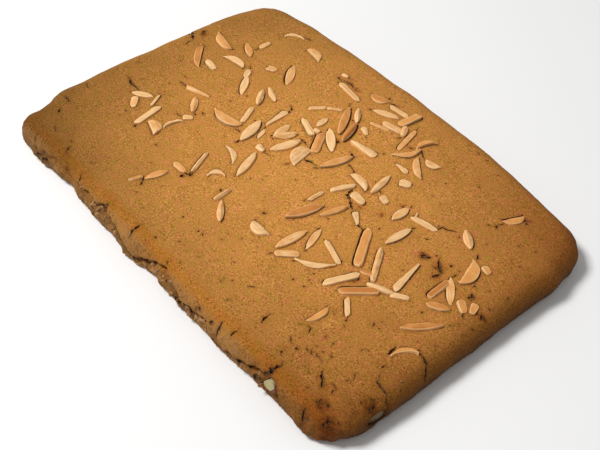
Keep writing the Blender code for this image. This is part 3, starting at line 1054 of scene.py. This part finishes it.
def box_of(obj):
    """The lowest and highest corner of an object's mesh, with a little room to spare."""
    spots = spots_of(obj)
    return spots.min(axis=0) - CLEARANCE, spots.max(axis=0) + CLEARANCE


def apart(first, second):
    """Whether two boxes are clear of each other."""
    return bool((first[0] > second[1]).any() or (second[0] > first[1]).any())


def deal(objects):
    """Deal objects out into rounds in which no two boxes touch."""
    rounds = []
    for obj in objects:
        box = box_of(obj)
        for members in rounds:
            if all(apart(box, other) for _, other in members):
                members.append((obj, box))
                break
        else:
            rounds.append([(obj, box)])
    return [[obj for obj, _ in members] for members in rounds]


def cut(members):
    """Cut one round of tools out of the crust."""
    cutter = joined(members, "cutter")
    cutter.data.materials.clear()
    cutter.data.materials.append(crust_material)
    cutter.data.materials.append(gap_shade_material)
    # The walls that the tools cut get the painted shade of a gap.
    for face in cutter.data.polygons:
        face.material_index = 1
    edit_all(cutter, bpy.ops.mesh.normals_make_consistent, inside=False)
    apply_modifier(crust, "BOOLEAN", object=cutter, operation="DIFFERENCE", solver="MANIFOLD")
    bpy.data.objects.remove(cutter)


crust_material = bpy.data.materials.new("baked_crust")
# Dark brown painted shade for the insides of gaps, cracks and pores.
gap_shade_material = bpy.data.materials.new("painted_gap_shade")
crust.data.materials.clear()
crust.data.materials.append(crust_material)
crust.data.materials.append(gap_shade_material)
dealt = deal(tools)
for members in dealt:
    cut(members)
for obj in [pore_master, *masters.values(), *blocks.values()]:
    bpy.data.objects.remove(obj)
print("cut in rounds of", [len(members) for members in dealt])
print("crust after cutting", triangles(crust), "triangles")

# %% [markdown]
# Between tools that lie close together, a scrap of crust may be left loose. Everything that
# isn't joined to the lowest point of the slab goes.

# %% Clear away loose scraps
LARGEST_SCRAP = 2000  # vertices; more than this would be no scrap, and stays
CRUST_SMOOTH_ANGLE = math.radians(42)

pick(crust)
bpy.ops.object.mode_set(mode="EDIT")
bpy.ops.mesh.select_mode(type="VERT")
bpy.ops.mesh.select_all(action="DESELECT")
bpy.ops.object.mode_set(mode="OBJECT")
lowest = min(crust.data.vertices, key=lambda vert: vert.co.z)
lowest.select = True
bpy.ops.object.mode_set(mode="EDIT")
bpy.ops.mesh.select_linked()
bpy.ops.mesh.select_all(action="INVERT")
bpy.ops.object.mode_set(mode="OBJECT")
scraps = sum(vert.select for vert in crust.data.vertices)
if scraps < LARGEST_SCRAP:
    bpy.ops.object.mode_set(mode="EDIT")
    bpy.ops.mesh.delete(type="VERT")
    bpy.ops.object.mode_set(mode="OBJECT")
bpy.ops.object.shade_smooth_by_angle(angle=CRUST_SMOOTH_ANGLE)
print("scraps cleared", scraps, "vertices")

# %% [markdown]
# ## Crumbs
#
# Below the tear the side is a row of crumbs that stuck to the slab. One small ball of few faces
# is bent into a crumb, and copies of it, each turned, squeezed and bent its own way, sit in the
# hollows. A few lie loose on the top.

# %% Crumbs in the tear and on the top
CRUMB_COUNT = 90
CRUMB_SINK = 0.18  # of its width, into the side
TOP_CRUMBS = (
    (2.8, 39, 0.8), (2.5, 57.2, 0.7), (-61, -51.5, 0.6), (33.5, -59.3, 0.7), (31, -58.8, 0.5),
    (-24, -65.6, 1.0), (47.5, 44, 0.5), (-30, 30, 0.5), (20, 56, 0.5), (70, -35, 0.5),
    (88, -34.6, 1.0), (-40, 42, 0.5), (10, -14, 0.5), (-58, 2, 0.5), (52, 30, 0.5),
)

bpy.ops.object.select_all(action="DESELECT")
bpy.ops.mesh.primitive_ico_sphere_add(subdivisions=2, radius=0.5)
crumb_master = bpy.context.object
crumb_master.name = "master_crumb"
rng = random.Random(11)
crumbs = []
for _ in range(CRUMB_COUNT):
    x = rng.triangular(-60, 62, rng.choice((-30, -10, 20, 52)))
    tear = float(np.interp(x * MM, along, heights))
    z = max(tear - abs(rng.gauss(0.6, 1.5)) * MM, 1.2 * MM)
    width = rng.uniform(0.7, 2.2) * MM
    spot = side_place(x * MM, z)
    if spot is not None:
        spot.y += CRUMB_SINK * width
        crumbs.append(bent_ball(spot, width, width * rng.uniform(0.7, 1.0), rng, crumb_master))
for x, y, width in TOP_CRUMBS:
    spot = top_place(x * MM, y * MM)
    crumbs.append(bent_ball(spot, width * MM, 0.6 * width * MM, rng, crumb_master))
crumb_piece = joined(crumbs, "crumbs")
bpy.data.objects.remove(crumb_master)
print("crumbs", len(crumbs), triangles(crumb_piece), "triangles")

# %% [markdown]
# ## Painting where the crust browned, and painted shade
#
# Heat and shade aren't the same all over: the rim is browner than the middle, the torn side shows
# pale crumb, the short right side is darkest, by a darker bake and by painted shade, and the dough
# beside each gap is a little dark with painted shade. The groove of the tear gets painted shade, and
# the side below it a darker brown that is partly painted shade under the ledge.
# How much of each a vertex has is kept as an attribute, from 0 to 1, for the material to read.

# %% Browning, crumb and shade attributes
GAP_SHADE_REACH = 0.6 * MM
FRONT_START, FRONT_END = -64.2 * MM, -66.8 * MM  # where the top turns into the front side
RIGHT_START, RIGHT_END = 86.5 * MM, 93.5 * MM
RIGHT_SLOPE, RIGHT_TOP = 0.3, 13.4 * MM  # the right side's darker brown and painted shade reach further in lower down


def keep(obj, name, values):
    """Store one number for each vertex."""
    layer = obj.data.attributes.new(name, "FLOAT", "POINT")
    layer.data.foreach_set("value", np.asarray(values, np.float32))


skin = spots_of(crust)
front = smoothstep(FRONT_START, FRONT_END, skin[:, 1])
reach = skin[:, 0] + RIGHT_SLOPE * (RIGHT_TOP - skin[:, 2])
right = smoothstep(RIGHT_START, RIGHT_END, reach)
dark_faces = [face for face in crust.data.polygons if face.material_index == 1]
dark_verts = {index for face in dark_faces for index in face.vertices}
walls = KDTree(len(dark_verts))
for index in dark_verts:
    walls.insert(skin[index], index)
walls.balance()
shade = np.array([walls.find(spot)[2] for spot in skin])
keep(crust, "shade", np.exp(-(shade / GAP_SHADE_REACH) ** 2))
keep(crust, "front", front)
# The short right side, painted darker: a darker bake and painted shade.
keep(crust, "right", right)
keep(crust, "browned", browned_share(skin))
above, nearness, depth = tear_at(skin)
# Painted shade in the groove of the tear.
keep(crust, "torn", front * nearness * smoothstep(0.2 * MM, 1.8 * MM, depth))
# Below the tear: a darker brown, partly painted shade under the ledge.
keep(crust, "below", front * smoothstep(0.3 * MM, -1.5 * MM, above))
print("vertices beside a gap", int((shade < GAP_SHADE_REACH).sum()))

# %% [markdown]
# ## Materials as arithmetic
#
# A node tree is easier to read as a formula. A small class wraps a socket, so that + - * / and
# powers on it add Math nodes, and one method adds every other kind of node.

# %% A socket that does sums


def sum_of(operation, swapped=False):
    """A method that adds a Math node, for one of Python's operators."""
    def method(self, other):
        first, second = (other, self) if swapped else (self, other)
        return self.look.node("Math", {"operation": operation}, {0: first, 1: second})
    return method


class Signal:
    """A number or a colour on its way through a material."""

    def __init__(self, look, socket):
        self.look = look
        self.socket = socket

    __add__ = sum_of("ADD")
    __radd__ = sum_of("ADD", swapped=True)
    __sub__ = sum_of("SUBTRACT")
    __rsub__ = sum_of("SUBTRACT", swapped=True)
    __mul__ = sum_of("MULTIPLY")
    __rmul__ = sum_of("MULTIPLY", swapped=True)
    __truediv__ = sum_of("DIVIDE")
    __pow__ = sum_of("POWER")


class Look:
    """A material, its main shader, and short ways to feed it."""

    def __init__(self, material, **constants):
        material.use_nodes = True
        self.tree = material.node_tree
        self.shader = self.tree.nodes["Principled BSDF"]
        for name, value in constants.items():
            self.shader.inputs[name.replace("_", " ")].default_value = value

    def feed(self, socket, value):
        if isinstance(value, Signal):
            self.tree.links.new(value.socket, socket)
        else:
            socket.default_value = value

    def node(self, kind, settings=None, inputs=None, out=0):
        made = self.tree.nodes.new("ShaderNode" + kind)
        for name, value in (settings or {}).items():
            setattr(made, name, value)
        for name, value in (inputs or {}).items():
            self.feed(made.inputs[name], value)
        return Signal(self, made.outputs[out])

    def place(self):
        """Where a point lies on the object, in metres."""
        return self.node("TexCoord", out=3)

    def part(self, vector, axis):
        return self.node("SeparateXYZ", inputs={0: vector}, out=axis)

    def kept(self, name):
        """A number that was kept for each vertex."""
        return self.node("Attribute", {"attribute_name": name}, out=2)

    def noise(self, spot, span, detail=2.0, roughness=0.5):
        """Clouds about this wide, mostly from 0.3 to 0.7."""
        inputs = {"Vector": spot, "Scale": 1 / span, "Detail": detail, "Roughness": roughness}
        return self.node("TexNoise", inputs=inputs)

    def dots(self, spot, span):
        """How far it is to the nearest of many scattered dots, in spans."""
        return self.node("TexVoronoi", inputs={"Vector": spot, "Scale": 1 / span})

    def rise(self, value, start, end):
        """0 before the start, 1 after the end, and a soft rise between them."""
        settings = {"interpolation_type": "SMOOTHSTEP"}
        return self.node("MapRange", settings, {0: value, 1: start, 2: end, 3: 0.0, 4: 1.0})

    def rise_straight(self, value, start, end):
        return self.node("MapRange", {}, {0: value, 1: start, 2: end, 3: 0.0, 4: 1.0})

    def mix(self, factor, first, second, blend="MIX"):
        """From the first colour to the second; 6 and 7 are the Mix node's colour sockets."""
        first = first if isinstance(first, Signal) else (*first, 1.0)
        second = second if isinstance(second, Signal) else (*second, 1.0)
        settings = {"data_type": "RGBA", "blend_type": blend}
        return self.node("Mix", settings, {0: factor, 6: first, 7: second}, out=2)

    def tint(self, factor, first, second):
        """The first colour, multiplied by the second."""
        return self.mix(factor, first, second, "MULTIPLY")

    def paint(self, **outputs):
        """Feed the shader's sockets, named with _ for a space."""
        for name, value in outputs.items():
            self.feed(self.shader.inputs[name.replace("_", " ")], value)

    def bump(self, height, strength, distance):
        return self.node("Bump", inputs={"Height": height, "Strength": strength, "Distance": distance})


# %% [markdown]
# ## The colour of the crust
#
# Up close the crust is a fine, floury grain in two tans, with darker specks of spice and painted shade
# in its fine pits. From afar it is golden in the middle and browner towards its edges, most of all at
# the right and near corners: partly the bake, partly painted shade where the light falls off. The
# short right side is darkest, by the bake and by painted shade.

# %% Crust material
# The middle and the edges of the top; the edges are browner by the bake and by painted shade.
GOLD = (0.555, 0.243, 0.050)
KHAKI_EDGE = (0.16, 0.068, 0.010)
RUSSET_EDGE = (0.14, 0.030, 0.000)
PINKER = (1.10, 0.94, 1.35)  # where the crust is a little paler and pinker than round it
GREENER = (0.88, 1.03, 0.72)
SHOULDER_TAN = (0.34, 0.155, 0.040)
SHOULDER_GREY = (0.27, 0.140, 0.048)
LOW_BROWN_AND_SHADE = (0.13, 0.066, 0.018)
RIM_ORANGE = (0.90, 0.77, 0.46)  # against the crust further in
NEAR_END = (0.72, 0.62, 0.38)
LEFT_END = (0.50, 0.52, 0.60)
# The short right side: a darker bake and painted shade, darkest at its foot.
SIDE_BROWN_AND_SHADE = (0.20, 0.072, 0.009)
FOOT_SHADE = (0.075, 0.028, 0.008)
BRIGHTER = (1.42, 1.55, 2.15)  # a floury grain against the crust round it
DARKER = (0.55, 0.45, 0.26)  # the shaded side of a grain
# Dark brown: the spice specks, and painted shade in pits, in the tear and beside gaps.
SPICE_AND_SHADE = (0.34, 0.26, 0.18)
SCORCH = (0.86, 0.68, 0.48)
HALF_LENGTH, HALF_WIDTH = 90 * MM, 65 * MM
PATCH_SPAN, HUE_SPAN = 14 * MM, 2.6 * MM
GRAIN_SPAN, PIT_SPAN, SPECK_SPAN = 0.55 * MM, 0.95 * MM, 4.2 * MM


def browned_and_shaded(look, x, y, patches):
    """Golden in the middle and browner outwards, by the bake and by painted shade: greenish at the left and
    reddish at the right.
    """
    along, across = x / HALF_LENGTH, y / HALF_WIDTH
    reach = 0.55 * along ** 2 + 0.39 * across ** 2 + 0.14 * along * across
    reach = reach - 0.05 * along - 0.07 * across
    brown = look.mix(look.rise(along + 0.3 * across, -0.4, 0.9), KHAKI_EDGE, RUSSET_EDGE)
    return look.mix(look.rise_straight(reach + (patches - 0.5) * 0.30, 0.0, 1.0), GOLD, brown)


def crust_colour(look):
    """The colour signal of the crust, and the two noises that also make its bumps."""
    spot = look.place()
    x, y, z = (look.part(spot, axis) for axis in range(3))
    patches = look.noise(spot, PATCH_SPAN, 3)
    # Browner outwards: partly the bake, partly painted shade where the light falls off.
    base = browned_and_shaded(look, x, y, patches)
    hue = look.noise(spot, HUE_SPAN, 3, 0.65)
    base = look.tint(look.rise(hue, 0.53, 0.68), base, PINKER)
    base = look.tint(look.rise(hue, 0.47, 0.32), base, GREENER)

    front, right = look.kept("front"), look.kept("right")
    side_noise = look.noise(spot, HUE_SPAN, 3, 0.6)
    stripe = look.rise(y, -0.0590, -0.0640) * (0.75 + 0.5 * look.rise(patches, 0.35, 0.6))
    base = look.tint(stripe, base, RIM_ORANGE)
    shoulder = look.mix(look.rise(side_noise, 0.42, 0.62), SHOULDER_TAN, SHOULDER_GREY)
    base = look.mix(front * 0.85, base, shoulder)
    base = look.tint(front * look.rise(x, -0.058, -0.080) * 0.5, base, LEFT_END)
    base = look.tint(front * look.rise(x, 0.045, 0.060), base, NEAR_END)
    # Below the tear: a darker brown, partly painted shade under the ledge.
    base = look.mix(look.kept("below") * look.rise(side_noise, 0.62, 0.42) * 0.75, base, LOW_BROWN_AND_SHADE)
    # Painted shade in the groove of the tear.
    base = look.tint(look.kept("torn") * 0.85, base, SPICE_AND_SHADE)
    # The short right side: a darker bake and painted shade, deepening towards its foot.
    dark = look.mix(look.rise(z + (side_noise - 0.5) * 0.004, 0.0095, 0.0035), SIDE_BROWN_AND_SHADE, FOOT_SHADE)
    base = look.mix(right * 0.92, base, dark)

    grain = look.noise(spot, GRAIN_SPAN, 2, 0.6)
    busy = 0.65 + 0.7 * look.rise(look.noise(spot, 5 * MM, 2), 0.35, 0.65)
    base = look.tint(look.rise(grain, 0.53, 0.70) * busy * (1 - 0.6 * front), base, BRIGHTER)
    base = look.tint(look.rise(grain, 0.48, 0.30) * busy, base, DARKER)
    specks = look.rise(look.dots(spot, SPECK_SPAN), 0.085, 0.045)
    base = look.tint(specks * 0.8, base, SPICE_AND_SHADE)
    edge = look.rise((x / HALF_LENGTH) ** 2 * 0.6 + (y / HALF_WIDTH) ** 2 * 0.4, 0.15, 0.75)
    # Painted shade of fine pinholes, more of it towards the edges.
    pits = look.rise(look.noise(spot, PIT_SPAN, 3, 0.7), 0.59, 0.70)
    base = look.tint(pits * (0.40 + 0.45 * edge), base, SPICE_AND_SHADE)
    blisters = look.kept("browned") * (2.6 * look.noise(spot, 1.1 * MM, 3, 0.6) - 0.5)
    base = look.tint(look.kept("browned") * 0.8, base, SCORCH)
    base = look.tint(look.rise(blisters, 0.30, 0.75) * 0.6, base, SPICE_AND_SHADE)
    base = look.tint(look.kept("shade") * 0.40, base, SPICE_AND_SHADE)
    return base, grain, hue


crust_look = Look(crust_material, Roughness=0.85, Specular_IOR_Level=0.12)
crust_base, fine_grain, mottle = crust_colour(crust_look)
crust_height = fine_grain * 0.6 + mottle * 0.4
crust_look.paint(Base_Color=crust_base, Normal=crust_look.bump(crust_height, 1.0, 0.36 * MM))

# %% Painted gap shade and crumb materials
# Two dark browns of painted shade, mixed by clouds.
GAP_SHADE_DEEP, GAP_SHADE_WALL = (0.065, 0.026, 0.006), (0.17, 0.070, 0.018)
CRUMB_BROWN, CRUMB_PALE = (0.22, 0.10, 0.03), (0.40, 0.21, 0.075)


def wear(piece, material):
    """Give a piece this material alone."""
    piece.data.materials.clear()
    piece.data.materials.append(material)


gap_look = Look(gap_shade_material, Roughness=0.9)
gap_clouds = gap_look.noise(gap_look.place(), 1.2 * MM)
gap_look.paint(Base_Color=gap_look.mix(gap_clouds, GAP_SHADE_DEEP, GAP_SHADE_WALL))

crumb_material = bpy.data.materials.new("crumb")
crumb_look = Look(crumb_material, Roughness=0.85)
crumb_spot = crumb_look.place()
paleness = crumb_look.rise(crumb_look.noise(crumb_spot, 2.5 * MM, 2), 0.38, 0.62)
crumb_grain = crumb_look.noise(crumb_spot, 0.6 * MM, 2)
crumb_look.paint(
    Base_Color=crumb_look.mix(paleness, CRUMB_BROWN, CRUMB_PALE),
    Normal=crumb_look.bump(crumb_grain, 0.6, 0.3 * MM),
)
wear(crumb_piece, crumb_material)

# %% [markdown]
# ## The colour of the almonds
#
# Almond flesh is cream with a fine grain along the kernel. In the oven the face that stood proud
# turned from honey to chestnut, while its cut edges stayed pale.

# %% Almond material
CREAM = (0.82, 0.51, 0.235)
DEEP_CREAM = (0.70, 0.40, 0.165)
PALE_EDGE = (0.90, 0.58, 0.27)
HONEY = (0.68, 0.30, 0.078)
CHESTNUT = (0.50, 0.175, 0.030)


def almond_look(material):
    look = Look(material, Roughness=0.5, IOR=1.45)
    grain_map = look.node("UVMap", {"uv_map": "grain"})
    u, v = look.part(grain_map, 0), look.part(grain_map, 1)
    spot = look.place()
    stretched = look.node("CombineXYZ", inputs={0: u * 1.5, 1: v * 1.9, 2: 0.0})
    fibres = look.noise(stretched, 0.6, 3, 0.6)
    blotch = look.noise(spot, 3.5 * MM, 2)
    toast = look.kept("toast") * 1.05 + (blotch - 0.5) * 0.7 + (fibres - 0.5) * 0.5
    rim = look.rise(look.kept("rim") + (fibres - 0.5) * 0.35, 0.62, 0.98)
    flesh = look.mix(look.rise(fibres, 0.42, 0.62), CREAM, DEEP_CREAM)
    browned = look.mix(look.rise(toast, 0.45, 1.0), HONEY, CHESTNUT)
    face = look.mix(look.rise(toast, 0.08, 0.55), flesh, browned)
    colour = look.mix(rim * 0.6, face, PALE_EDGE)
    height = fibres * 0.7 + look.noise(spot, 0.7 * MM, 2) * 0.3
    look.paint(
        Base_Color=colour,
        Roughness=0.40 + 0.25 * fibres,
        Normal=look.bump(height, 0.5, 0.25 * MM),
    )


almond_material = bpy.data.materials.new("almond_flesh")
almond_look(almond_material)
for piece in almonds.values():
    wear(piece, almond_material)

# %% Materials of the cut kernels
RAW_SHADE, RAW_PALE = (0.28, 0.225, 0.10), (0.45, 0.38, 0.19)
RIGHT_KERNEL_TINT = (0.42, 0.34, 0.26)  # the kernel in the right side is darker
SKIN_DARK, SKIN_RED = (0.055, 0.012, 0.006), (0.20, 0.045, 0.02)

raw_material = bpy.data.materials.new("raw_almond")
flesh_look = Look(raw_material, Roughness=0.6)
flesh_spot = flesh_look.place()
raw = flesh_look.mix(flesh_look.noise(flesh_spot, 1.4 * MM, 2), RAW_SHADE, RAW_PALE)
at_right = flesh_look.rise(flesh_look.part(flesh_spot, 0), 75 * MM, 80 * MM)
flesh_look.paint(
    Base_Color=flesh_look.tint(at_right, raw, RIGHT_KERNEL_TINT),
    Normal=flesh_look.bump(flesh_look.noise(flesh_spot, 0.5 * MM, 2), 0.4, 0.2 * MM),
)
wear(flesh, raw_material)

skin_material = bpy.data.materials.new("almond_skin")
skin_look = Look(skin_material, Roughness=0.6)
skin_spot = skin_look.place()
skin_look.paint(
    Base_Color=skin_look.mix(skin_look.noise(skin_spot, 0.8 * MM, 2), SKIN_DARK, SKIN_RED),
    Normal=skin_look.bump(skin_look.noise(skin_spot, 0.4 * MM, 2), 0.6, 0.2 * MM),
)
wear(kernel_skin, skin_material)

# %% [markdown]
# ## Bodies and smooth shading
#
# The slab is one body, so every piece rides on it. The crust stands for the slab's solid.

# %% Dress the slab and finish
PIECE_SMOOTH_ANGLE = math.radians(32)

for piece in [crust, crumb_piece, flesh, kernel_skin, *almonds.values()]:
    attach(piece, "root")
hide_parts(NODE)

for piece in [crumb_piece, flesh, kernel_skin, *almonds.values()]:
    edit_all(piece, bpy.ops.mesh.normals_make_consistent, inside=False)
    bpy.ops.object.shade_smooth_by_angle(angle=PIECE_SMOOTH_ANGLE)
